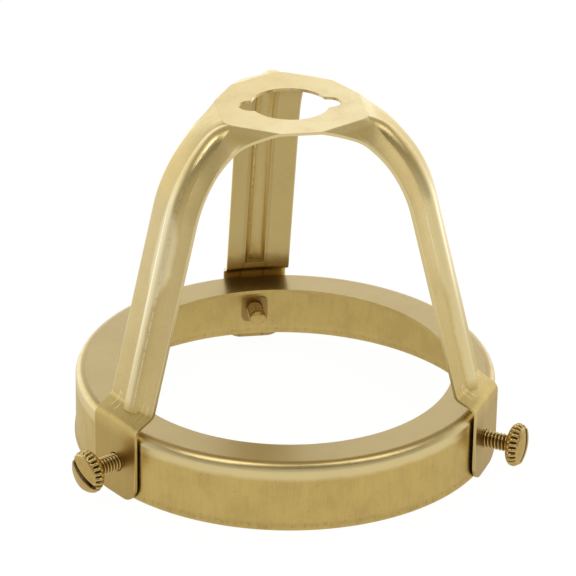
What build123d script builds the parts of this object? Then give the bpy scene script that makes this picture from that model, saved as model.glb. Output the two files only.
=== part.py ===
from build123d import *

import os
from math import atan2, cos, degrees, hypot, radians, sin, tan

# Uno shade holder: a pressed brass spider staked to a drawn fitter ring, with three thumb screws.
# Millimetres. The origin is the centre of the top hole, on the disc's upper face, and +Z points up.
# One arm runs towards +Y, and the notches of the hole lie along X.

# Layout
disc_height = 73.8  # disc's upper face above the ring's bottom rim
arm_angles = {"back": 90, "left": 210, "right": 330}  # directions of the arms seen from above
gap_angle = 60  # degrees from an arm to the middle of the gap beside it
fit = 0.02  # clearance between pieces that rest on each other
trim = 0.02  # small step that keeps two faces of one cut from coinciding

# Fitter ring
ring_radius = 43.8  # outside of the upright band
ring_height = 14.6
ring_sheet = 0.75
ring_corner = 1.9  # outer radius of the rounded top corner
flange_width = 8.8
rim_flare = 0.3  # how far the bottom rim bells out
rim_lip = 0.5
rim_flare_height = 1.5
rim_flare_blend = 4.0

# Spider: sheet, disc and hole
spider_sheet = 0.6
hole_radius = 8.0
notch_reach = 10.5  # from the hole's centre to a notch's end
notch_width = 5.2
notch_blend = 0.65

# Spider: arms
arm_width = 13.6
gap_distance = 14.6  # from the axis to the straight edge between two arms
gap_blend = 27.0  # radius that leads that edge into an arm, seen from above
shoulder_start = 18.0  # from the axis to where the shoulder's line meets the disc's upper face
shoulder_slope = 42.5  # degrees below the horizontal
shoulder_reach = 28.3  # from the axis to where the shoulder's line meets the arm's
shoulder_radius = 25.4
foot_inset = 3.2  # from the ring's outside in to where the arm's outer face folds outwards
foot_rise = 3.3  # height of that fold above the ring's top
foot_fold = 1.4
joggle_slope = 27.0
tab_fold = 2.2  # outer radius where the joggle turns down into the tab

# Spider: six-sided flat top, whose straight creases lead into facets that blend into the shoulder
crease_distance = 14.85  # from the axis to each crease
crease_corner = 4.0  # radius of the flat's corners seen from above
crease_slope = 22.0  # facet's slope in degrees below the horizontal
crease_round = 1.0  # outer radius
hip_blend = 9.0  # outer radius from a facet into the shoulder
hip_overlap = 0.7  # how far the shape that cuts the facets reaches below them

# Spider: pressed rib along each arm
rib_width = 4.8
rib_shift = 0.7  # from an arm's middle to its rib's, anticlockwise seen from above
rib_roll = 6.7  # radius of its centre line from under the disc into the shoulder
rib_height = 1.2
rib_start = 12.0  # distance from the axis where the rib begins, still flush with the disc
rib_end_web = 1.0  # solid metal between the end of the rib's groove and the foot

# Spider: tabs and staked collars
tab_drop = 1.0  # tab's bottom edge below the ring's bottom rim
tab_corner = 4.0
screw_height = 6.2  # screw axis above the ring's bottom rim
collar_wall = 0.65
stake_size = 5.6  # squarish flare that holds the collar inside the ring
stake_corner = 1.1
stake_thickness = 0.45
mouth_round = 0.5  # rounding where the collar is drawn in from the tab

# Thumb screws
shank_radius = 1.85
thread_clearance = 0.05  # between the shank and the collar's bore
shank_inside = 4.85  # how far the tip stands inside the ring's wall
tip_chamfer = 0.4
head_gap = 5.0  # from the tab's face to the head
head_radius = 4.5
neck_radius = 2.3
head_back = 1.5  # from the neck to the widest section
head_dome = 2.2  # from the widest section to the top of the dome
flute_count = 24
flute_radius = 0.42
flute_depth = 0.5
slot_width = 1.0
slot_depth = 1.4
slot_turns = {"back": 20, "left": 146, "right": 65}  # degrees from the horizontal

# Places worked out from the sizes above
rim_z = -disc_height
ring_top_z = rim_z + ring_height
ring_inner_radius = ring_radius - ring_sheet
flange_inner_radius = ring_radius - flange_width
screw_z = rim_z + screw_height
foot_radius = ring_radius - foot_inset
foot_z = ring_top_z + foot_rise
tab_inner = ring_radius + fit
tab_outer = tab_inner + spider_sheet
tab_bottom_z = rim_z - tab_drop
bore_radius = shank_radius + thread_clearance
collar_radius = bore_radius + collar_wall
facet_gain = 1 / tan(radians(crease_slope)) - 1 / tan(radians(shoulder_slope))  # on the shoulder
facet_height = (shoulder_start - crease_distance) / facet_gain + hip_overlap
rib_radius = (rib_width**2 / 4 + rib_height**2) / (2 * rib_height)
rib_depth = rib_radius - rib_height  # rib's centre line under the arm's outer face
collar_end = ring_inner_radius - fit - stake_thickness  # how near to the axis the staked collars reach
clear_of_part = 10.0  # how far cutting shapes run past the part
floor_z = tab_bottom_z - clear_of_part  # underside of the solid that the spider is cut from


def rib_plane(angle):
    """Upright plane through the middle of an arm's rib: x runs outwards and y runs up."""
    outward = Vector(1, 0, 0).rotate(Axis.Z, angle)
    middle = Vector(0, rib_shift, 0).rotate(Axis.Z, angle)
    return Plane(origin=middle, x_dir=outward, z_dir=outward.cross(Vector(0, 0, 1)))


def facing_plane(angle, distance, turn=0):
    """Plane square to an arm's direction, on the screw's axis, seen from outside the ring."""
    outward = Vector(1, 0, 0).rotate(Axis.Z, angle)
    sideways = Vector(0, 1, 0).rotate(Axis.Z, angle).rotate(Axis((0, 0, 0), outward), turn)
    return Plane(origin=outward * distance + Vector(0, 0, screw_z), x_dir=sideways, z_dir=outward)


def meeting_point(first, first_slope, second, second_slope):
    """Where two lines meet that fall outwards, each given by a point and a slope in degrees."""
    first_fall = tan(radians(first_slope))
    second_fall = tan(radians(second_slope))
    level_gap = first[1] - second[1] + first_fall * first[0] - second_fall * second[0]
    x = level_gap / (first_fall - second_fall)
    return (x, first[1] - first_fall * (x - first[0]))


def below(point, slope, depth):
    """The point moved square to a falling line, to a depth under the sheet's outer face."""
    return (point[0] - depth * sin(radians(slope)), point[1] - depth * cos(radians(slope)))


def fold_edges(part, distance):
    """Edges where the joggles meet their tabs, at a distance from the axis."""
    curved = part.edges().filter_by(GeomType.HYPERBOLA)
    return curved.filter_by(lambda e: abs(hypot((e @ 0.5).X, (e @ 0.5).Y) - distance) < trim)


def hip_edges(part, depth):
    """Edges where the facets and the corners between them meet the turned shoulder."""
    top = -depth - trim
    foot = -depth - facet_height
    return part.edges().filter_by(lambda e: foot < (e @ 0).Z < top and foot < (e @ 1).Z < top)


def on_collar_mouth(edge):
    """True for the outer rims of the three bores."""
    if edge.geom_type != GeomType.CIRCLE or abs(edge.radius - bore_radius) > trim:
        return False
    return abs(hypot(edge.arc_center.X, edge.arc_center.Y) - tab_outer) < trim


disc_corner = (shoulder_start, 0)
shoulder_fall = (shoulder_reach - shoulder_start) * tan(radians(shoulder_slope))
foot_corner = (foot_radius, foot_z)
arm_slope = degrees(atan2(-shoulder_fall - foot_z, foot_radius - shoulder_reach))


def arm_corners(depth, top_depth):
    """Corners of the disc, shoulder and foot at a depth under the sheet's outer face."""
    shoulder = below(disc_corner, shoulder_slope, depth)
    arm = below(foot_corner, arm_slope, depth)
    joggle = below(foot_corner, joggle_slope, depth)
    roll_corner = meeting_point((0, -top_depth), 0, shoulder, shoulder_slope)
    bend_corner = meeting_point(shoulder, shoulder_slope, arm, arm_slope)
    fold_corner = meeting_point(arm, arm_slope, joggle, joggle_slope)
    return [roll_corner, bend_corner, fold_corner]


# The shoulder's bend leaves room on a rib's centre line for the roll under the disc
rib_roll_corner, rib_bend_corner, rib_fold_corner = arm_corners(rib_depth, rib_radius + trim)
rib_shoulder = (rib_bend_corner[0] - rib_roll_corner[0]) / cos(radians(shoulder_slope))
bend_room = rib_shoulder - rib_roll * tan(radians(shoulder_slope / 2)) - trim
bend_limit = rib_depth + bend_room / tan(radians((arm_slope - shoulder_slope) / 2))
shoulder_bend = min(shoulder_radius, bend_limit)


def hips(depth):
    """Everything under the six-sided top and its facets, at a depth under the sheet's outer face."""
    with BuildPart() as solid:
        with BuildSketch(Plane.XY.offset(-depth)) as flat_top:
            inner_distance = crease_distance - depth * tan(radians(crease_slope / 2))
            RegularPolygon(inner_distance, 6, major_radius=False, rotation=arm_angles["back"])
            fillet(flat_top.vertices(), crease_corner)
        extrude(amount=-facet_height, taper=crease_slope - 90)
        with BuildSketch(Plane.XY.offset(-depth - facet_height)):
            Circle(2 * ring_radius)
        extrude(amount=floor_z - clear_of_part)
    return solid


def bell(depth):
    """Everything under the sheet at a depth: a shoulder turned about the axis, with hips at its top."""
    corners = arm_corners(depth, depth)
    reach = tab_outer + clear_of_part
    joggle_end = (reach, corners[2][1] - (reach - corners[2][0]) * tan(radians(joggle_slope)))
    radii = [shoulder_bend - depth, foot_fold + depth]
    with BuildPart() as solid:
        with BuildSketch(Plane.XZ):
            with BuildLine():
                side = FilletPolyline(*corners, joggle_end, radius=radii)
                Polyline(side @ 1, (reach, floor_z), (0, floor_z), (0, -depth), side @ 0)
            make_face()
        revolve(axis=Axis.Z)
        add(hips(depth).part, mode=Mode.INTERSECT)
        fillet(hip_edges(solid, depth), hip_blend - depth)
        fillet(solid.edges().group_by(Axis.Z)[-1], crease_round - depth)
    return solid


def rib_run(stop_z):
    """A rib's centre line, from under the disc down its arm to a height."""
    end = (rib_fold_corner[0] - (stop_z - rib_fold_corner[1]) / tan(radians(arm_slope)), stop_z)
    corners = [(rib_start, -rib_radius - trim), rib_roll_corner, rib_bend_corner, end]
    return FilletPolyline(*corners, radius=[rib_roll, shoulder_bend - rib_depth])


# The outline seen from above: three arms joined by straight edges that blend into them
corner_side = arm_width / 2 * sin(radians(gap_angle))
corner_reach = (gap_distance - corner_side) / cos(radians(gap_angle))
with BuildSketch() as plan:
    with BuildLine():
        corners = []
        for angle in arm_angles.values():
            for reach, side in ((corner_reach, -1), (tab_outer, -1), (tab_outer, 1), (corner_reach, 1)):
                corners.append(Vector(reach, side * arm_width / 2, 0).rotate(Axis.Z, angle))
        Polyline(*corners, close=True)
    make_face()
    fillet(plan.vertices().filter_by(lambda v: hypot(v.X, v.Y) < foot_radius), gap_blend)

with BuildPart() as stakes:
    # Squarish flares that lie against the inside of the ring's wall
    for angle in arm_angles.values():
        with BuildSketch(facing_plane(angle, ring_radius)):
            RectangleRounded(stake_size, stake_size, stake_corner)
        extrude(amount=-(ring_radius - collar_end))
    with BuildSketch(Plane.XY.offset(rim_z)):
        Circle(ring_inner_radius - fit)
    extrude(amount=ring_height, mode=Mode.INTERSECT)

with BuildPart() as spider:
    # Solid bell with the ribs standing on it
    add(bell(0).part)
    for angle in arm_angles.values():
        with BuildLine(rib_plane(angle)) as rib_line:
            rib_run(foot_z - rib_height)
        with BuildSketch(Plane(origin=rib_line.line @ 0, z_dir=rib_line.line % 0)):
            Circle(rib_radius)
        sweep(path=rib_line.line)

    # Cut to the plan outline, then hollowed to one thickness of sheet
    with BuildSketch(Plane.XY.offset(clear_of_part)):
        add(plan.sketch)
    extrude(amount=floor_z - clear_of_part, mode=Mode.INTERSECT)
    add(bell(spider_sheet).part, mode=Mode.SUBTRACT)
    for angle in arm_angles.values():
        with BuildLine(rib_plane(angle)) as groove_line:
            rib_run(foot_z + rib_end_web)
        with BuildSketch(Plane(origin=groove_line.line @ 0, z_dir=groove_line.line % 0)):
            Circle(rib_radius - spider_sheet)
        sweep(path=groove_line.line, mode=Mode.SUBTRACT)

    # Hole for the lampholder, with its two notches
    with BuildSketch():
        Circle(hole_radius)
        SlotOverall(2 * notch_reach, notch_width)
        offset(amount=notch_blend)
        offset(amount=-notch_blend)
    extrude(amount=-clear_of_part, mode=Mode.SUBTRACT)

    # Flat tabs below the joggles, each with a collar drawn in through the ring and staked over
    tab_reach = hypot(tab_outer, arm_width / 2)
    tab_top_z = foot_z - (tab_reach - foot_radius) * tan(radians(joggle_slope)) - trim
    tab_height = tab_top_z - tab_bottom_z
    for angle in arm_angles.values():
        with BuildSketch(facing_plane(angle, tab_outer)) as tab:
            with Locations((0, tab_bottom_z - screw_z)):
                Rectangle(arm_width, tab_height, align=(Align.CENTER, Align.MIN))
            fillet(tab.vertices().group_by(Axis.Y)[0], tab_corner)
        extrude(amount=-spider_sheet)
        with BuildSketch(facing_plane(angle, tab_inner)):
            Circle(collar_radius)
        extrude(amount=-(tab_inner - collar_end))
    fillet(fold_edges(spider, tab_inner), tab_fold - spider_sheet)
    fillet(fold_edges(spider, tab_outer), tab_fold)
    add(stakes.part)
    for angle in arm_angles.values():
        with BuildSketch(facing_plane(angle, tab_outer)):
            Circle(bore_radius)
        extrude(amount=-(tab_outer - collar_end + trim), mode=Mode.SUBTRACT)
    fillet(spider.edges().filter_by(on_collar_mouth), mouth_round)
spider.part.label = "spider"

with BuildPart() as fitter_ring:
    with BuildSketch(Plane.XZ):
        with BuildLine():
            FilletPolyline(
                (ring_radius + rim_flare, rim_z),
                (ring_radius + rim_flare, rim_z + rim_lip),
                (ring_radius, rim_z + rim_lip + rim_flare_height),
                (ring_radius, ring_top_z),
                (flange_inner_radius, ring_top_z),
                radius=[rim_flare_blend, rim_flare_blend, ring_corner],
            )
            offset(amount=ring_sheet, side=Side.LEFT)
        make_face()
    revolve(axis=Axis.Z)

    # The belled rim is pressed flat under each tab, and the band is pierced for its collar
    for angle in arm_angles.values():
        with BuildSketch(facing_plane(angle, tab_inner)):
            Rectangle(arm_width, 2 * ring_height)
        extrude(amount=clear_of_part, mode=Mode.SUBTRACT)
        with BuildSketch(facing_plane(angle, tab_inner)):
            Circle(collar_radius + fit)
        extrude(amount=-clear_of_part, mode=Mode.SUBTRACT)
fitter_ring.part.label = "fitter_ring"


def thumb_screw(angle, turn):
    """A thumb screw in its collar, with its slot turned by an angle about the screw's own axis."""
    neck = facing_plane(angle, tab_outer + head_gap, turn)
    shank_length = neck.origin.dot(neck.z_dir) - (ring_inner_radius - shank_inside)
    head_thickness = head_back + head_dome
    with BuildPart() as screw:
        with BuildSketch(Plane(origin=neck.origin, x_dir=neck.x_dir, z_dir=-neck.y_dir)):
            with BuildLine():
                Polyline(
                    (0, head_thickness),
                    (0, -shank_length),
                    (shank_radius - tip_chamfer, -shank_length),
                    (shank_radius, tip_chamfer - shank_length),
                    (shank_radius, 0),
                    (neck_radius, 0),
                )
                back_bulge = head_radius - neck_radius
                EllipticalCenterArc((neck_radius, head_back), back_bulge, head_back, 270, arc_size=90)
                EllipticalCenterArc((0, head_back), head_radius, head_dome, 0, arc_size=90)
            make_face()
        revolve(axis=Axis(neck.origin, neck.z_dir))
        with BuildSketch(neck):
            with PolarLocations(head_radius + flute_radius - flute_depth, flute_count):
                Circle(flute_radius)
        extrude(amount=head_thickness, mode=Mode.SUBTRACT)
        with BuildSketch(neck.offset(head_thickness)):
            Rectangle(2 * head_radius + clear_of_part, slot_width)
        extrude(amount=-slot_depth, mode=Mode.SUBTRACT)
    return screw


os.makedirs("parts", exist_ok=True)
export_step(spider.part, "parts/spider.step")
export_step(fitter_ring.part, "parts/fitter_ring.step")
for place, angle in arm_angles.items():
    screw = thumb_screw(angle, slot_turns[place])
    screw.part.label = f"thumb_screw_{place}"
    export_step(screw.part, f"parts/thumb_screw_{place}.step")
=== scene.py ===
import math

import bmesh
import bpy
from mathutils import Matrix, Vector


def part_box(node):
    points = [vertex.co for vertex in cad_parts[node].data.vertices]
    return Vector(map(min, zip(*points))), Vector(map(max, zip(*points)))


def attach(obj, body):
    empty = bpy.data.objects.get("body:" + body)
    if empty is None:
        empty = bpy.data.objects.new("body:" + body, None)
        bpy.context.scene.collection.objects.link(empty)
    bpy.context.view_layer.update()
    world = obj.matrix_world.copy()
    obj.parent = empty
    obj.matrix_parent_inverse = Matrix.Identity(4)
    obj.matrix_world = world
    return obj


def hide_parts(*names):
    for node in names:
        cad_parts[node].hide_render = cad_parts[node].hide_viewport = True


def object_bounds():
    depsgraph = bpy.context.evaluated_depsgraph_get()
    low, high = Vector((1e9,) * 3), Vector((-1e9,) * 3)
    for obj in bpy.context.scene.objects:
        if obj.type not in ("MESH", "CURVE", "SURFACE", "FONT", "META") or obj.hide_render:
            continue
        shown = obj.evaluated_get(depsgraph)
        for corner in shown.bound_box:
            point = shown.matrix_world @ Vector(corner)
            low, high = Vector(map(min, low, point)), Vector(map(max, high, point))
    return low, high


# Satin brass shade holder on a pale studio floor: the frame's spider and ring get their brass, and
# each thumb screw is made again with a cut thread, a fluted head and a screwdriver slot.
# Everything is in metres, in the frame's own axes.

bl_info = {
    "name": "Uno Shade Holder",
    "version": (1, 0, 0),
    "blender": (4, 5, 0),
    "location": "3D View > Sidebar > Shade Holder",
    "description": "Finishes a brass lamp shade holder and its thumb screws, and lights them on a pale floor",
    "category": "Object",
}

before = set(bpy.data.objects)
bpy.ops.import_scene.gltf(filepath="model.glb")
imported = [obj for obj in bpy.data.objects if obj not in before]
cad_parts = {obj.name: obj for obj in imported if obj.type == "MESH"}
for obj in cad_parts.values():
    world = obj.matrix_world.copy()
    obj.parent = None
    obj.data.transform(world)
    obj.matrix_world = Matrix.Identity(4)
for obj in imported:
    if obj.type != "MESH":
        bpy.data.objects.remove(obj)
cad_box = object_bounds()

MM = 0.001

# Where the arms and the screws' slots point, in degrees
ARM_ANGLES = {"back": 90, "left": 210, "right": 330}
SLOT_TURNS = {"back": 20, "left": 151, "right": 65}
ARM_STEP = 2 * math.pi / len(ARM_ANGLES)

# Places on the brass that its marks are set out from
ARM_HALF_WIDTH = 6.8 * MM
RIB_MIDDLE = 0.7 * MM
RIB_HALF_WIDTH = 2.5 * MM
SHOULDER_LEVEL = -24 * MM
FOLD_TOP = -55.6 * MM
TAB_TOP = -60 * MM
BAND_RADIUS = 43 * MM
CORNER_RADIUS = 1.9 * MM

# Steps of the screws' skins, and the angles in degrees past which their edges stay sharp
ROWS_PER_PITCH = 12
SHANK_STEPS = 48
STEPS_PER_FLUTE = 10
BACK_ROWS = 12
BARREL_ROWS = 12
FACE_ROWS = 16
SHANK_CREASE = 80
HEAD_CREASE = 50
SLOT_CREASE = 40

# Walls, floor and lamps of the stage. PEAK is the strength of its brightest place, where 1 is white.
PEAK = 1.35
FLOOR_REACH = 3.0
SENSOR_WIDTH = 36
LAMP_TARGET = (0, 0, -0.04)
LAMP_WIDTH = 0.34
LAMP_HEIGHT = 0.62
LEFT_LAMP = (-0.34, -0.16, 0.78)
RIGHT_LAMP = (0.40, -0.16, 0.78)
BLACK = (0.0, 0.0, 0.0, 1.0)
WHITE = (1.0, 1.0, 1.0, 1.0)
PLAIN_FLOOR = (0.82, 0.82, 0.82, 1.0)
GREY_FLOOR = (0.66, 0.61, 0.53, 1.0)
WARM_FLOOR = (0.68, 0.612, 0.4488, 1.0)
WARM_WALL = (1.0, 0.90, 0.66, 1.0)
WARM_LAMP = (1.0, 0.93, 0.80)


class Wire:
    """A value in a shader. Arithmetic on wires adds the Math nodes that work it out."""

    def __init__(self, shader, socket):
        self.shader = shader
        self.socket = socket

    def math(self, operation, *values):
        return self.shader.add("ShaderNodeMath", {"operation": operation}, dict(enumerate(values)))

    def __add__(self, other):
        return self.math("ADD", self, other)

    def __sub__(self, other):
        return self.math("SUBTRACT", self, other)

    def __rsub__(self, other):
        return self.math("SUBTRACT", other, self)

    def __mul__(self, other):
        return self.math("MULTIPLY", self, other)

    def __truediv__(self, other):
        return self.math("DIVIDE", self, other)

    __radd__ = __add__


class Shader:
    """The node tree of one material or of the world, written as expressions on wires."""

    def __init__(self, owner):
        owner.use_nodes = True
        self.nodes = owner.node_tree.nodes
        self.links = owner.node_tree.links
        self.nodes.clear()

    def add(self, kind, settings=None, sockets=None, output=0):
        """A node of a kind, with its settings made first and then its sockets' values or links."""
        node = self.nodes.new(kind)
        for name, value in (settings or {}).items():
            setattr(node, name, value)
        for name, value in (sockets or {}).items():
            if isinstance(value, Wire):
                self.links.new(value.socket, node.inputs[name])
            else:
                node.inputs[name].default_value = value
        return Wire(self, node.outputs[output]) if node.outputs else node

    def colour_mix(self, factor, low, high):
        """The low colour where the factor is 0, and the high one where it is 1 or more."""
        settings = {"data_type": "RGBA", "clamp_factor": True}
        return self.add("ShaderNodeMix", settings, {0: factor, 6: low, 7: high}, output=2)

    def range(self, value, low, high):
        """A smooth step from 0 at the low limit to 1 at the high one."""
        sockets = {0: value, 1: low, 2: high}
        return self.add("ShaderNodeMapRange", {"interpolation_type": "SMOOTHSTEP"}, sockets)

    def place(self):
        """Position on the piece, in metres in the frame's axes."""
        return self.add("ShaderNodeTexCoord", output=3)

    def noise(self, place, size, detail=2.0, roughness=0.5):
        """Smooth noise whose lumps are about a size in metres, around 0.5."""
        sockets = {"Vector": place, "Scale": 1 / size, "Detail": detail, "Roughness": roughness}
        return self.add("ShaderNodeTexNoise", {}, sockets)

    def part(self, vector, axis):
        """One of a vector's three values, by the letter of its axis."""
        return self.add("ShaderNodeSeparateXYZ", {}, {0: vector}, output="XYZ".index(axis))

    def vector(self, x, y, z=0.0):
        return self.add("ShaderNodeCombineXYZ", {}, {0: x, 1: y, 2: z})

    def vector_math(self, operation, sockets, output=0):
        return self.add("ShaderNodeVectorMath", {"operation": operation}, sockets, output)

    def absolute(self, value):
        return value.math("ABSOLUTE", value)

    def band(self, value, middle, half_width, softness):
        """1 within a half width of a middle value, and 0 further away."""
        return 1 - self.range(self.absolute(value - middle), half_width, half_width + softness)

    def round_place(self, place):
        """Distance from the centre line, and angle about it, whose seam is at the back arm."""
        x = self.part(place, "X")
        y = self.part(place, "Y")
        return x.math("SQRT", x * x + y * y), x.math("ARCTAN2", x, 0 - y)

    def beside_arm(self, radius, angle):
        """Distance sideways from the middle of the nearest arm, anticlockwise seen from above."""
        turns = angle / ARM_STEP
        offset = (turns - turns.math("FLOOR", turns) - 0.5) * ARM_STEP
        return radius * offset.math("SINE", offset)

    def outwardness(self, place, radius):
        """1 where the surface faces away from the centre line, 0 where it faces it."""
        normal = self.add("ShaderNodeNewGeometry", output=1)
        along_x = self.part(place, "X") * self.part(normal, "X")
        along_y = self.part(place, "Y") * self.part(normal, "Y")
        return self.range((along_x + along_y) / radius, -0.25, 0.25)

    def flatness(self):
        """1 where the surface lies level, 0 where it stands."""
        normal = self.add("ShaderNodeNewGeometry", output=1)
        return self.range(self.absolute(self.part(normal, "Z")), 0.80, 0.97)


def colour4(colour):
    """A colour's red, green and blue with a full alpha."""
    return (colour[0], colour[1], colour[2], 1.0)


def blend(first, second, share):
    """A colour at a share of the way from one to another."""
    return colour4([a + (b - a) * share for a, b in zip(first, second)])


class BrassFinish(bpy.types.PropertyGroup):
    """Colours and polish of the brass."""

    sheet_colour: bpy.props.FloatVectorProperty(
        name="Sheet colour", description="Colour of the clean pressed brass",
        subtype="COLOR", size=3, default=(0.78, 0.63, 0.28), min=0.0, max=1.0,
    )
    # Pale brass of the cut edges, also used for painted highlights on the spider and at the band's corner.
    burnish_and_highlight_colour: bpy.props.FloatVectorProperty(
        name="Burnished colour", description="Colour of the brass where the tools rubbed it bright",
        subtype="COLOR", size=3, default=(1.0, 0.91, 0.62), min=0.0, max=1.0,
    )
    # Darker colour painted over the flange as shade.
    flange_shade_colour: bpy.props.FloatVectorProperty(
        name="Flange colour", description="Colour of the spun flange, duller than the band",
        subtype="COLOR", size=3, default=(0.53, 0.42, 0.20), min=0.0, max=1.0,
    )
    # Dark brass of real tarnish, pits and specks, also used for painted shade on the spider and for the
    # darker line at the flange's edge.
    tarnish_and_shade_colour: bpy.props.FloatVectorProperty(
        name="Tarnish colour", description="Colour of the brass in pits and along cut edges",
        subtype="COLOR", size=3, default=(0.42, 0.29, 0.12), min=0.0, max=1.0,
    )
    screw_colour: bpy.props.FloatVectorProperty(
        name="Screw colour", description="Colour of the turned brass of the thumb screws",
        subtype="COLOR", size=3, default=(0.74, 0.57, 0.26), min=0.0, max=1.0,
    )
    # Dark colour painted as shade in the screws' thread, flutes and slot.
    recess_shade_colour: bpy.props.FloatVectorProperty(
        name="Thread root colour", description="Colour of the oiled brass deep in the thread",
        subtype="COLOR", size=3, default=(0.10, 0.07, 0.04), min=0.0, max=1.0,
    )
    sheet_roughness: bpy.props.FloatProperty(
        name="Sheet roughness", description="How matt the satin sheet is", default=0.33, min=0.05, max=1.0,
    )
    lacquer: bpy.props.FloatProperty(
        name="Lacquer", description="How much clear lacquer shines over the sheet",
        default=0.25, min=0.0, max=1.0,
    )
    screw_roughness: bpy.props.FloatProperty(
        name="Screw roughness", description="How matt the turned screws are", default=0.2, min=0.05, max=1.0,
    )


class ThumbScrewSizes(bpy.types.PropertyGroup):
    """Sizes of one thumb screw, in metres."""

    shank_radius: bpy.props.FloatProperty(
        name="Shank radius", description="Outer radius of the thread", default=1.85 * MM, subtype="DISTANCE",
    )
    thread_pitch: bpy.props.FloatProperty(
        name="Thread pitch", description="Travel of one turn", default=0.75 * MM, subtype="DISTANCE",
    )
    thread_depth: bpy.props.FloatProperty(
        name="Thread depth", description="Height of the thread's crest over its root",
        default=0.36 * MM, subtype="DISTANCE",
    )
    tip_chamfer: bpy.props.FloatProperty(
        name="Tip chamfer", description="Bevel at the end of the thread",
        default=0.4 * MM, subtype="DISTANCE",
    )
    head_radius: bpy.props.FloatProperty(
        name="Head radius", description="Radius of the widest section of the head",
        default=4.5 * MM, subtype="DISTANCE",
    )
    neck_radius: bpy.props.FloatProperty(
        name="Neck radius", description="Radius where the head's back meets the shank",
        default=2.3 * MM, subtype="DISTANCE",
    )
    head_back: bpy.props.FloatProperty(
        name="Head back", description="From the neck to the widest section",
        default=1.5 * MM, subtype="DISTANCE",
    )
    head_dome: bpy.props.FloatProperty(
        name="Head dome", description="From the widest section to the top of the dome",
        default=2.2 * MM, subtype="DISTANCE",
    )
    face_dome: bpy.props.FloatProperty(
        name="Face dome", description="Height of the low dome of the head's face",
        default=0.7 * MM, subtype="DISTANCE",
    )
    face_radius: bpy.props.FloatProperty(
        name="Face radius", description="Radius of the edge of the head's face",
        default=3.75 * MM, subtype="DISTANCE",
    )
    flute_count: bpy.props.IntProperty(
        name="Flutes", description="Grip flutes round the head", default=24, min=6,
    )
    flute_depth: bpy.props.FloatProperty(
        name="Flute depth", description="Depth of a flute at the widest section",
        default=0.55 * MM, subtype="DISTANCE",
    )
    slot_width: bpy.props.FloatProperty(
        name="Slot width", description="Width of the screwdriver slot", default=1.3 * MM, subtype="DISTANCE",
    )
    slot_depth: bpy.props.FloatProperty(
        name="Slot depth", description="Depth of the slot at the middle",
        default=1.4 * MM, subtype="DISTANCE",
    )


class StudioSettings(bpy.types.PropertyGroup):
    """Camera and light of the stage."""

    camera_place: bpy.props.FloatVectorProperty(
        name="Camera place", description="Where the camera stands",
        subtype="TRANSLATION", size=3, default=(-0.1134, -0.6878, 0.3030),
    )
    camera_pan: bpy.props.FloatProperty(
        name="Pan", description="Turn of the camera about the vertical, from looking along +Y",
        subtype="ANGLE", default=math.radians(-9.383),
    )
    camera_tilt: bpy.props.FloatProperty(
        name="Tilt", description="How far the camera looks down",
        subtype="ANGLE", default=math.radians(26.297),
    )
    camera_roll: bpy.props.FloatProperty(
        name="Roll", description="Turn of the camera about its own view",
        subtype="ANGLE", default=math.radians(0.977),
    )
    focal_length: bpy.props.FloatProperty(
        name="Focal length", description="Lens in millimetres on a 36 mm sensor", default=235.1, min=10,
    )
    left_power: bpy.props.FloatProperty(
        name="Left power", description="Power of the left softbox in watts", default=1.3, min=0,
    )
    right_power: bpy.props.FloatProperty(
        name="Right power", description="Power of the right softbox in watts", default=1.1, min=0,
    )


def aged_brass(shader, finish, clean, worn):
    """A clean colour, half way to tarnish where the worn wire is 1."""
    aged = blend(clean, finish.tarnish_and_shade_colour, 0.5)
    return shader.colour_mix(worn, colour4(clean), aged)


def satin_sheet(shader, finish, colour, height, dulled):
    """Satin brass, from wires for its colour, its marks' height and what they add to its roughness."""
    normal = shader.add("ShaderNodeBump", {}, {"Strength": 0.20, "Distance": 0.03 * MM, "Height": height})
    sockets = {
        "Base Color": colour, "Metallic": 1.0, "Roughness": finish.sheet_roughness + dulled, "Normal": normal,
        "Coat Weight": finish.lacquer, "Coat Roughness": 0.18,
    }
    brass = shader.add("ShaderNodeBsdfPrincipled", {}, sockets)
    shader.add("ShaderNodeOutputMaterial", {}, {"Surface": brass})


def brass_pits(shader, place):
    """1 in the few small pits of the sheet."""
    return shader.range(shader.noise(place, 0.8 * MM, 1.0), 0.74, 0.80)


def rib_line_highlight(shader, side, z):
    """A fine broken pale line down each rib, a painted highlight along its slope."""
    line = shader.band(side, 2.0 * MM, 0.08 * MM, 0.10 * MM)
    return line * shader.range(shader.noise(shader.vector(z, side), 1.1 * MM, 1.0), 0.38, 0.5)


def stretch_highlights(shader, side, z):
    """Short pale stripes on both sides of the rib, where the sheet was stretched over the joggle: painted
    highlights.
    """
    stripes = shader.range(shader.noise(shader.vector(side, z * 0.12), 0.42 * MM, 1.0), 0.56, 0.64)
    beside_rib = shader.band(shader.absolute(side - RIB_MIDDLE), 4.1 * MM, 1.4 * MM, 0.4 * MM)
    return stripes * beside_rib * shader.band(z, FOLD_TOP, 1.1 * MM, 0.5 * MM)


def rib_crown_highlight(shader, side, z, clouds):
    """A painted highlight along the crown of each rib, below the top and widest at the shoulder."""
    shoulder = shader.band(z, SHOULDER_LEVEL, 3 * MM, 9 * MM)
    off_crown = side + (clouds - 0.5) * 1.2 * MM - shoulder * 0.6 * MM
    crown = shader.band(off_crown, -0.2 * MM, shoulder * 1.4 * MM + 0.8 * MM, 1.3 * MM)
    return crown * (1 - shader.range(z, -14 * MM, -6 * MM))


def top_highlight(shader, place, z, clouds):
    """A painted highlight over the level top, paler towards the front right."""
    toward_front = shader.part(place, "X") * 0.9 - shader.part(place, "Y") * 0.8
    share = 0.05 + shader.range(toward_front, -18 * MM, 14 * MM) * 0.5
    return shader.range(z, -1.0 * MM, -0.5 * MM) * (1.1 - clouds) * share


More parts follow.
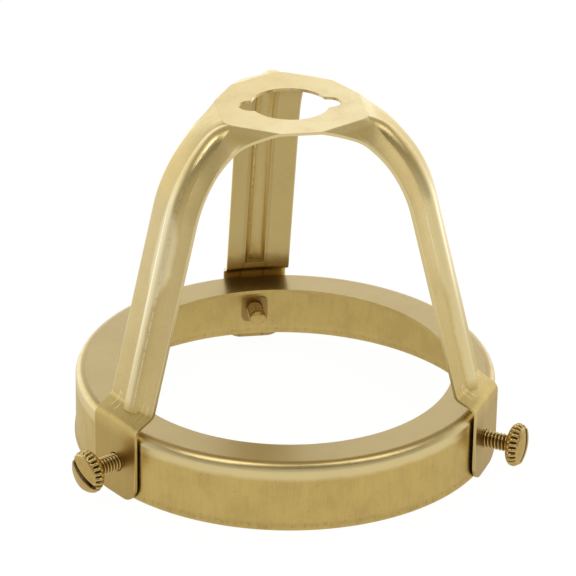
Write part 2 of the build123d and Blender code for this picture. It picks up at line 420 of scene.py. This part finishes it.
def spider_brass(finish):
    """Pressed brass streaked down the arms, with pale cut edges, painted highlights on the ribs, the arms and
    the top, and painted shade on the tabs, at the folds and on the inner faces.
    """
    material = bpy.data.materials.new("spider_brass")
    shader = Shader(material)
    place = shader.place()
    radius, angle = shader.round_place(place)
    side = shader.beside_arm(radius, angle)
    z = shader.part(place, "Z")

    flat = shader.flatness()
    on_arm = 1 - flat
    outer = shader.outwardness(place, radius)
    inner = 1 - outer
    on_tab = 1 - shader.range(z, TAB_TOP - 2 * MM, TAB_TOP + 2 * MM)
    above_fold = shader.range(z, FOLD_TOP - 1 * MM, FOLD_TOP + 2 * MM)
    beside_rib = (1 - shader.band(side, RIB_MIDDLE, 2.2 * MM, 1.0 * MM)) * on_arm
    staked = (1 - shader.range(radius, BAND_RADIUS - 0.4 * MM, BAND_RADIUS)) * on_tab

    lines = shader.noise(shader.vector(side, angle * 0.002, z * 0.03), 0.30 * MM, 3.0)
    streaks = shader.range(lines, 0.5, 0.8) * on_arm
    grain = shader.noise(place, 0.22 * MM, 2.0)
    clouds = shader.noise(place, 7 * MM, 3.0, 0.6)
    patches = shader.noise(place, 2.2 * MM, 2.0)
    speckle = shader.range(shader.noise(place, 0.6 * MM, 2.0), 0.48, 0.68)
    pits = brass_pits(shader, place)
    # Real wear, grain and streaks, with painted shade on the flats beside the rib and over the tabs.
    worn = shader.range(clouds, 0.42, 0.72) * 0.26 + patches * 0.08 + streaks * 0.22
    worn = worn + grain * 0.16 + speckle * 0.22 + beside_rib * 0.10 + on_tab * 0.10
    colour = aged_brass(shader, finish, finish.sheet_colour, worn)

    # Painted shade: darker at the foot of each rib and in the fold above the ring on the inner faces, on the
    # staked flare within the ring, over the tabs and over the arms' inner faces. The pits are real.
    off_rib = shader.absolute(side - RIB_MIDDLE)
    rib_foot = shader.band(off_rib, RIB_HALF_WIDTH, 0.12 * MM, 0.35 * MM) * on_arm * inner
    fold_shade = shader.band(z + (patches - 0.5) * 3 * MM, FOLD_TOP + 1 * MM, 1.2 * MM, 1.5 * MM) * inner
    dark = pits * 0.55 + rib_foot * 0.45 + fold_shade * 0.6 + staked * 0.5 + on_tab * 0.42 + inner * on_arm * 0.16
    colour = shader.colour_mix(dark, colour, colour4(finish.tarnish_and_shade_colour))

    # Pale colour painted on the spider: painted highlights along the ribs, where the ribs meet the fold, over
    # the arms above the fold and over the top, and the pale cut edges.
    line_highlight = rib_line_highlight(shader, side, z) * on_arm * above_fold
    stretch_highlight = stretch_highlights(shader, side, z) * outer
    crown = rib_crown_highlight(shader, side, z, clouds) * on_arm * above_fold * outer
    off_middle = shader.absolute(side)
    cut_edge = shader.range(off_middle, ARM_HALF_WIDTH - 0.30 * MM, ARM_HALF_WIDTH - 0.05 * MM) * on_arm
    highlight_and_burnish = line_highlight * 0.6 + stretch_highlight * 0.7 + cut_edge * 0.6 + crown * 0.75 + on_arm * above_fold * 0.28
    highlight_and_burnish = highlight_and_burnish + top_highlight(shader, place, z, clouds) * flat
    colour = shader.colour_mix(highlight_and_burnish, colour, colour4(finish.burnish_and_highlight_colour))

    height = lines * on_arm * 0.9 + grain * 0.5 - pits + line_highlight + stretch_highlight * 2
    dulled = (clouds - 0.5) * 0.08 + (lines - 0.5) * on_arm * 0.10 - line_highlight * 0.1 - crown * 0.10
    satin_sheet(shader, finish, colour, height, dulled)
    return material


def ring_brass(finish):
    """Drawn brass, streaked down the band, with painted shade and a little more roughness on the flange, a
    darker line along its outer edge, a painted highlight at the corner, specked at the rim.
    """
    material = bpy.data.materials.new("ring_brass")
    shader = Shader(material)
    place = shader.place()
    radius, angle = shader.round_place(place)
    z = shader.part(place, "Z")
    round_way = angle * BAND_RADIUS
    low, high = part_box("fitter_ring")

    flat = shader.flatness()
    outside = shader.range(radius, BAND_RADIUS - 1 * MM, BAND_RADIUS + 0.5 * MM) * (1 - flat)
    drawn = shader.noise(shader.vector(round_way, z * 0.04), 0.30 * MM, 3.0)
    spun = shader.noise(shader.vector(radius, round_way * 0.03), 0.22 * MM, 3.0)
    lines = shader.add("ShaderNodeMix", {}, {0: flat, 2: drawn, 3: spun})
    streaks = shader.range(drawn, 0.45, 0.75) * outside + shader.range(spun, 0.45, 0.75) * flat
    grain = shader.noise(place, 0.22 * MM, 2.0)
    clouds = shader.noise(place, 9 * MM, 3.0, 0.6)
    mottle = shader.noise(shader.vector(round_way, z * 0.4), 2.4 * MM, 3.0)
    speckle = shader.range(shader.noise(place, 0.5 * MM, 2.0), 0.5, 0.72)
    pits = brass_pits(shader, place)
    worn = shader.range(clouds, 0.42, 0.66) * 0.30 + shader.range(mottle, 0.42, 0.66) * 0.22
    worn = worn + streaks * 0.22 + speckle * 0.14 + grain * 0.12
    colour = aged_brass(shader, finish, finish.sheet_colour, worn)
    # The flange's darker colour is painted shade over its level top.
    colour = shader.colour_mix(flat * 0.85, colour, colour4(finish.flange_shade_colour))

    specks = shader.noise(shader.vector(round_way, z * 0.8), 1.1 * MM, 3.0, 0.7)
    uneven_z = z + (mottle - 0.5) * 0.8 * MM
    rim = shader.band(uneven_z, low.z + 0.9 * MM, 0.15 * MM, 0.6 * MM) * outside
    rim = rim * (0.25 + shader.range(specks, 0.50, 0.60) * 0.75)
    uneven_radius = radius + (mottle - 0.5) * 0.6 * MM
    # A darker line painted along the flange's outer edge, next to the corner.
    flange_edge_line = shader.band(uneven_radius, BAND_RADIUS - 0.7 * MM, 0.2 * MM, 0.6 * MM) * flat
    flange_edge_line = flange_edge_line * shader.range(z, high.z - 0.4 * MM, high.z - 0.2 * MM)
    dark = flange_edge_line * 0.4 + rim * 0.45 + pits * 0.55
    colour = shader.colour_mix(dark, colour, colour4(finish.tarnish_and_shade_colour))

    # Painted highlight along the band just below its rounded corner.
    corner = shader.band(uneven_z, high.z - CORNER_RADIUS, 0.7 * MM, 1.4 * MM) * outside
    colour = shader.colour_mix(corner * 0.75, colour, colour4(finish.burnish_and_highlight_colour))

    height = lines * 0.9 + grain * 0.5 - pits
    dulled = (clouds - 0.5) * 0.08 + (lines - 0.5) * 0.10 + flat * 0.04
    satin_sheet(shader, finish, colour, height, dulled)
    return material


def along_and_off(shader, place, angle):
    """Distance outwards along a screw's axis from the centre line, and distance from that axis."""
    turn = math.radians(angle)
    outward = (math.cos(turn), math.sin(turn), 0.0)
    from_axis = shader.vector_math("SUBTRACT", {0: place, 1: (0, 0, screw_level())})
    along = shader.vector_math("DOT_PRODUCT", {0: from_axis, 1: outward}, output=1)
    on_axis = shader.vector_math("SCALE", {0: outward, 3: along})
    square = shader.vector_math("SUBTRACT", {0: from_axis, 1: on_axis})
    return along, shader.vector_math("LENGTH", {0: square}, output=1)


def thread_root_shade(shader, sizes, along, off):
    """Painted shade: 1 in the roots of the thread, and 0 on its crests and on the tip."""
    tip = screw_tip_distance()
    neck = screw_neck_distance(sizes)
    root_radius = sizes.shank_radius - sizes.thread_depth
    in_root = 1 - shader.range(off, root_radius + 0.04 * MM, sizes.shank_radius - 0.05 * MM)
    past_tip = shader.range(along, tip + 0.05 * MM, tip + 0.3 * MM)
    return in_root * past_tip * (1 - shader.range(along, neck, neck + 0.1 * MM))


def flute_shade(shader, sizes, along, off):
    """Painted shade: 1 deep in the flutes round the head, and 0 on the lands between them."""
    neck = screw_neck_distance(sizes)
    face = neck + face_start(sizes)
    widest = neck + sizes.head_back
    ahead = (along - widest) / (face - widest)
    ahead = ahead.math("MAXIMUM", ahead, 0.0)
    land = sizes.head_radius - ahead * ahead * (sizes.head_radius - sizes.face_radius)
    deep = shader.range(land - off, 0.08 * MM, 0.36 * MM)
    deep = deep * shader.range(along, neck + 1.0 * MM, neck + 1.4 * MM)
    deep = deep * (1 - shader.range(along, face - 0.4 * MM, face - 0.2 * MM))
    return deep * shader.range(off, sizes.face_radius - 0.3 * MM, sizes.face_radius - 0.1 * MM)


def slot_shade(shader, sizes, along, off):
    """Painted shade: 1 in the screwdriver slot, below the dome of the face."""
    face = screw_neck_distance(sizes) + face_start(sizes)
    slot_floor = face + sizes.face_dome - sizes.slot_depth
    reach = off / sizes.face_radius
    face_level = (1 - reach * reach) * sizes.face_dome + face
    below = shader.range(face_level - along, 0.05 * MM, 0.25 * MM)
    below = below * shader.range(along, slot_floor - 0.1 * MM, slot_floor)
    return below * (1 - shader.range(off, sizes.face_radius - 0.4 * MM, sizes.face_radius - 0.2 * MM))


def turned_brass(name, finish, sizes, angle):
    """Polished brass of a screw, duller on its face, with painted shade in its thread, flutes and slot."""
    material = bpy.data.materials.new(name)
    shader = Shader(material)
    place = shader.place()
    along, off = along_and_off(shader, place, angle)
    face = screw_neck_distance(sizes) + face_start(sizes)
    on_face = shader.range(along, face - 0.05 * MM, face + 0.05 * MM)
    clouds = shader.noise(place, 1.6 * MM, 3.0, 0.6)
    grain = shader.noise(place, 0.12 * MM, 2.0)
    worn = shader.range(clouds, 0.4, 0.75) * 0.45 + on_face * 0.5
    colour = aged_brass(shader, finish, finish.screw_colour, worn)
    # Painted shade in the thread's roots, in the flutes and in the slot.
    recess_shade = thread_root_shade(shader, sizes, along, off) * 0.9
    recess_shade = recess_shade + flute_shade(shader, sizes, along, off) * 0.75 + slot_shade(shader, sizes, along, off) * 0.92
    colour = shader.colour_mix(recess_shade, colour, colour4(finish.recess_shade_colour))
    roughness = finish.screw_roughness + (clouds - 0.5) * 0.12 + recess_shade * 0.25
    normal = shader.add("ShaderNodeBump", {}, {"Strength": 0.08, "Distance": 0.02 * MM, "Height": grain})
    sockets = {"Base Color": colour, "Metallic": 1.0, "Roughness": roughness, "Normal": normal}
    brass = shader.add("ShaderNodeBsdfPrincipled", {}, sockets)
    shader.add("ShaderNodeOutputMaterial", {}, {"Surface": brass})
    return material


def back_screw_box():
    """Box of the back screw, whose axis runs along Y."""
    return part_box("thumb_screw_back")


def screw_level():
    """Height of the screws' axes."""
    low, high = back_screw_box()
    return (low.z + high.z) / 2


def screw_tip_distance():
    """Distance of the screws' tips from the centre line."""
    return back_screw_box()[0].y


def screw_neck_distance(sizes):
    """Distance of the heads' necks from the centre line."""
    return back_screw_box()[1].y - sizes.head_back - sizes.head_dome


def dress(node, material):
    """Gives a node of the frame a new material."""
    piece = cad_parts[node]
    piece.data.materials.clear()
    piece.data.materials.append(material)


class SHADE_OT_spider(bpy.types.Operator):
    """Finish the pressed spider in satin brass"""

    bl_idname = "shade.spider"
    bl_label = "Finish Spider"

    def execute(self, context):
        finish = context.scene.brass_finish
        dress("spider", spider_brass(finish))
        return {"FINISHED"}


class SHADE_OT_fitter_ring(bpy.types.Operator):
    """Finish the drawn fitter ring in satin brass"""

    bl_idname = "shade.fitter_ring"
    bl_label = "Finish Fitter Ring"

    def execute(self, context):
        finish = context.scene.brass_finish
        dress("fitter_ring", ring_brass(finish))
        return {"FINISHED"}


def revolved_rows(bm, rows, steps, point_at):
    """A closed skin about the x axis, of one ring for each row. point_at gives a point's x and radius."""
    rings = []
    for row in rows:
        ring = []
        for step in range(steps):
            turn = 2 * math.pi * step / steps
            x, radius = point_at(row, turn)
            ring.append(bm.verts.new((x, radius * math.cos(turn), radius * math.sin(turn))))
        rings.append(ring)
    for near, far in zip(rings, rings[1:]):
        for step in range(steps):
            after = (step + 1) % steps
            bm.faces.new((near[step], near[after], far[after], far[step]))
    bm.faces.new(list(reversed(rings[0])))
    bm.faces.new(rings[-1])


def clamped(value):
    return min(max(value, 0.0), 1.0)


def thread_height(share):
    """Height of the thread's profile over its root, 0 to 1, at a share of one pitch."""
    root_width = 0.12
    flank_width = 0.70
    from_root = abs(2 * share - 1)
    return clamped((from_root - root_width) / flank_width)


def threaded_shank(sizes, length):
    """The shank from its tip at x = 0 to the neck, with a helical thread."""
    bm = bmesh.new()
    row_count = math.ceil(length / sizes.thread_pitch * ROWS_PER_PITCH)

    def point_at(row, turn):
        x = length * row / row_count
        share = (x / sizes.thread_pitch - turn / (2 * math.pi)) % 1.0
        radius = sizes.shank_radius - sizes.thread_depth * (1 - thread_height(share))
        return x, min(radius, sizes.shank_radius - sizes.tip_chamfer + x)

    revolved_rows(bm, range(row_count + 1), SHANK_STEPS, point_at)
    return bm


def face_start(sizes):
    """From the neck to the edge of the head's face."""
    return sizes.head_back + sizes.head_dome - sizes.face_dome


def head_profile(sizes):
    """Points (x, radius) of the head's outline: a round back, a barrel that narrows, and a domed face."""
    points = []
    for row in range(BACK_ROWS + 1):
        turn = math.pi / 2 * row / BACK_ROWS
        radius = sizes.neck_radius + (sizes.head_radius - sizes.neck_radius) * math.sin(turn)
        points.append((sizes.head_back * (1 - math.cos(turn)), radius))
    face_x = face_start(sizes)
    for row in range(1, BARREL_ROWS + 1):
        share = row / BARREL_ROWS
        radius = sizes.head_radius - (sizes.head_radius - sizes.face_radius) * share ** 2
        points.append((sizes.head_back + (face_x - sizes.head_back) * share, radius))
    top_radius = 0.02 * MM
    for row in range(1, FACE_ROWS + 1):
        radius = max(sizes.face_radius * (1 - row / FACE_ROWS), top_radius)
        points.append((face_x + sizes.face_dome * (1 - (radius / sizes.face_radius) ** 2), radius))
    return points


def fluted_head(sizes):
    """The head from its neck at x = 0 to the top of its dome, with flutes round its barrel."""
    bm = bmesh.new()
    flutes_start = 0.5 * MM
    flutes_end = face_start(sizes) - 0.2 * MM
    run_in = 0.6 * MM
    run_out = 0.4 * MM

    def point_at(point, turn):
        x, radius = point
        wave = 0.5 - 0.5 * math.cos(sizes.flute_count * turn)
        fade = clamped((x - flutes_start) / run_in) * clamped((flutes_end - x) / run_out)
        return x, radius - sizes.flute_depth * wave ** 2 * fade

    revolved_rows(bm, head_profile(sizes), STEPS_PER_FLUTE * sizes.flute_count, point_at)
    return bm


def new_piece(name, bm, material, crease):
    """A linked object made of a bmesh, shaded smooth between creases of more than an angle in degrees."""
    bmesh.ops.recalc_face_normals(bm, faces=bm.faces)
    mesh = bpy.data.meshes.new(name)
    bm.to_mesh(mesh)
    bm.free()
    mesh.materials.append(material)
    for face in mesh.polygons:
        face.use_smooth = True
    mesh.set_sharp_from_angle(angle=math.radians(crease))
    piece = bpy.data.objects.new(name, mesh)
    bpy.context.scene.collection.objects.link(piece)
    return piece


def cut_slot(head, sizes):
    """Cuts the screwdriver slot across the face of a head."""
    bm = bmesh.new()
    top = sizes.head_back + sizes.head_dome
    size = Matrix.Diagonal((2 * sizes.slot_depth, 3 * sizes.head_radius, sizes.slot_width, 1.0))
    bmesh.ops.create_cube(bm, size=1.0, matrix=Matrix.Translation((top, 0, 0)) @ size)
    cutter = new_piece("slot_cutter", bm, head.data.materials[0], SLOT_CREASE)
    cut = head.modifiers.new("slot", "BOOLEAN")
    cut.operation = "DIFFERENCE"
    cut.solver = "EXACT"
    cut.object = cutter
    apply_modifiers(head)
    bpy.data.objects.remove(cutter)


def apply_modifiers(piece):
    """Replaces a piece's mesh with what its modifiers make of it."""
    graph = bpy.context.evaluated_depsgraph_get()
    made = bpy.data.meshes.new_from_object(piece.evaluated_get(graph))
    piece.modifiers.clear()
    piece.data = made


class SHADE_OT_thumb_screws(bpy.types.Operator):
    """Make the three thumb screws with their threads, flutes and slots"""

    bl_idname = "shade.thumb_screws"
    bl_label = "Make Thumb Screws"

    def execute(self, context):
        sizes = context.scene.thumb_screw_sizes
        finish = context.scene.brass_finish
        tip = screw_tip_distance()
        neck = screw_neck_distance(sizes)
        lift = Matrix.Translation((0, 0, screw_level()))
        for place, angle in ARM_ANGLES.items():
            material = turned_brass(f"screw_brass_{place}", finish, sizes, angle)
            thread = threaded_shank(sizes, neck - tip)
            shank = new_piece(f"{place}_screw_shank", thread, material, SHANK_CREASE)
            head = new_piece(f"{place}_screw_head", fluted_head(sizes), material, HEAD_CREASE)
            cut_slot(head, sizes)
            turn_out = lift @ Matrix.Rotation(math.radians(angle), 4, "Z")
            spin = Matrix.Rotation(math.radians(SLOT_TURNS[place]), 4, "X")
            shank.data.transform(turn_out @ Matrix.Translation((tip, 0, 0)))
            head.data.transform(turn_out @ Matrix.Translation((neck, 0, 0)) @ spin)
            for piece in (shank, head):
                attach(piece, f"screw_{place}")
                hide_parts(f"thumb_screw_{place}")
        return {"FINISHED"}


def softbox(name, place, power):
    """A warm softbox that faces the middle of the holder."""
    lamp = bpy.data.lights.new(name, "AREA")
    lamp.shape = "RECTANGLE"
    lamp.size = LAMP_WIDTH
    lamp.size_y = LAMP_HEIGHT
    lamp.energy = power
    lamp.color = WARM_LAMP
    holder = bpy.data.objects.new(name, lamp)
    holder.location = place
    facing = Vector(LAMP_TARGET) - Vector(place)
    holder.rotation_euler = facing.to_track_quat("-Z", "Y").to_euler()
    bpy.context.scene.collection.objects.link(holder)


def studio_world():
    """White to the camera, and round the object pale walls, brightest behind it, and a darker ceiling."""
    world = bpy.data.worlds.new("studio")
    bpy.context.scene.world = world
    shader = Shader(world)
    camera = shader.add("ShaderNodeLightPath", output=0)
    direction = shader.add("ShaderNodeTexCoord", output=0)
    behind = shader.range(shader.part(direction, "Y"), -0.35, 0.55)
    sides = shader.range(shader.absolute(shader.part(direction, "X")), 0.3, 0.8)
    ceiling = shader.range(shader.part(direction, "Z"), 0.42, 0.66)
    level = (0.48 + behind * 0.82) * (1 - ceiling * 0.66) * (1 - sides * 0.24)
    level = level * (1 - camera) + camera
    colour = shader.colour_mix(behind * (1 - ceiling) * (1 - sides * 0.7), WARM_WALL, WHITE)
    colour = shader.colour_mix(camera, colour, WHITE)
    colour = shader.colour_mix(level / PEAK, BLACK, colour)
    light = shader.add("ShaderNodeBackground", {}, {"Color": colour, "Strength": PEAK})
    shader.add("ShaderNodeOutputWorld", {}, {"Surface": light})


def floor_paint():
    """White to the camera with a faint trace of the object's shadow, and pale in the object's gloss."""
    material = bpy.data.materials.new("floor_paint")
    shader = Shader(material)
    camera = shader.add("ShaderNodeLightPath", output=0)
    glossy = shader.add("ShaderNodeLightPath", output=3)
    transmitted = shader.add("ShaderNodeLightPath", output=6)
    place = shader.place()
    behind = shader.range(shader.part(place, "Y"), 0.02, 0.12)
    left = 1 - shader.range(shader.part(place, "X"), -0.22, -0.07)
    right = shader.range(shader.part(place, "X"), 0.20, 0.45)
    # Painted shadow: the floor is darker within the ring in the object's gloss.
    shadow_inside_ring = 1 - shader.range(shader.round_place(place)[0], 35 * MM, 55 * MM)
    level = 1.06 + (behind * (1 - left) * 0.25 - shadow_inside_ring * 0.12) * (1 - camera)
    colour = shader.colour_mix(behind * (1 - right * 0.8), WARM_FLOOR, WHITE)
    colour = shader.colour_mix(left * (1 - behind * 0.5), colour, GREY_FLOOR)
    colour = shader.colour_mix(camera, colour, WHITE)
    colour = shader.colour_mix(level / PEAK, BLACK, colour)
    shaded = shader.add("ShaderNodeBsdfDiffuse", {}, {"Color": PLAIN_FLOOR})
    shining = shader.add("ShaderNodeEmission", {}, {"Color": colour, "Strength": PEAK})
    share = camera * 0.92 + glossy * 0.9 + transmitted * 0.9
    surface = shader.add("ShaderNodeMixShader", {}, {0: share, 1: shaded, 2: shining})
    shader.add("ShaderNodeOutputMaterial", {}, {"Surface": surface})
    return material


def floor_sheet():
    """A wide level floor under the object."""
    level = cad_box[0].z
    ends = (-FLOOR_REACH, FLOOR_REACH)
    corners = [(x, y, level) for y in ends for x in ends]
    mesh = bpy.data.meshes.new("floor")
    mesh.from_pydata(corners, [], [(0, 1, 3, 2)])
    mesh.materials.append(floor_paint())
    floor = bpy.data.objects.new("floor", mesh)
    bpy.context.scene.collection.objects.link(floor)


def studio_camera(settings):
    """The camera of the photograph."""
    lens = bpy.data.cameras.new("camera")
    lens.lens = settings.focal_length
    lens.sensor_width = SENSOR_WIDTH
    camera = bpy.data.objects.new("camera", lens)
    pan = Matrix.Rotation(settings.camera_pan, 4, "Z")
    tilt = Matrix.Rotation(math.pi / 2 - settings.camera_tilt, 4, "X")
    roll = Matrix.Rotation(settings.camera_roll, 4, "Z")
    camera.matrix_world = Matrix.Translation(settings.camera_place) @ pan @ tilt @ roll
    bpy.context.scene.collection.objects.link(camera)
    bpy.context.scene.camera = camera


class SHADE_OT_stage(bpy.types.Operator):
    """Set up the floor, the lights and the camera"""

    bl_idname = "shade.stage"
    bl_label = "Set Up Stage"

    def execute(self, context):
        settings = context.scene.studio_settings
        floor_sheet()
        studio_world()
        softbox("left_softbox", LEFT_LAMP, settings.left_power)
        softbox("right_softbox", RIGHT_LAMP, settings.right_power)
        studio_camera(settings)
        context.scene.view_settings.view_transform = "Standard"
        return {"FINISHED"}


class SHADE_PT_build(bpy.types.Panel):
    """Lists the steps that make the shade holder"""

    bl_idname = "SHADE_PT_build"
    bl_label = "Shade Holder"
    bl_space_type = "VIEW_3D"
    bl_region_type = "UI"
    bl_category = "Shade Holder"

    def draw(self, context):
        for group in GROUPS:
            settings = getattr(context.scene, group)
            box = self.layout.box()
            for name in settings.__annotations__:
                box.prop(settings, name)
        for operator in OPERATORS:
            self.layout.operator(operator.bl_idname)


OPERATORS = (SHADE_OT_spider, SHADE_OT_fitter_ring, SHADE_OT_thumb_screws, SHADE_OT_stage)
GROUPS = {
    "brass_finish": BrassFinish,
    "thumb_screw_sizes": ThumbScrewSizes,
    "studio_settings": StudioSettings,
}


def register():
    for group in GROUPS.values():
        bpy.utils.register_class(group)
    for operator in (*OPERATORS, SHADE_PT_build):
        bpy.utils.register_class(operator)
    for name, group in GROUPS.items():
        setattr(bpy.types.Scene, name, bpy.props.PointerProperty(type=group))


def unregister():
    for name in GROUPS:
        delattr(bpy.types.Scene, name)
    for operator in (SHADE_PT_build, *reversed(OPERATORS)):
        bpy.utils.unregister_class(operator)
    for group in reversed(GROUPS.values()):
        bpy.utils.unregister_class(group)


def main():
    register()
    bpy.ops.shade.spider()
    bpy.ops.shade.fitter_ring()
    bpy.ops.shade.thumb_screws()
    bpy.ops.shade.stage()


if __name__ == "__main__":
    main()
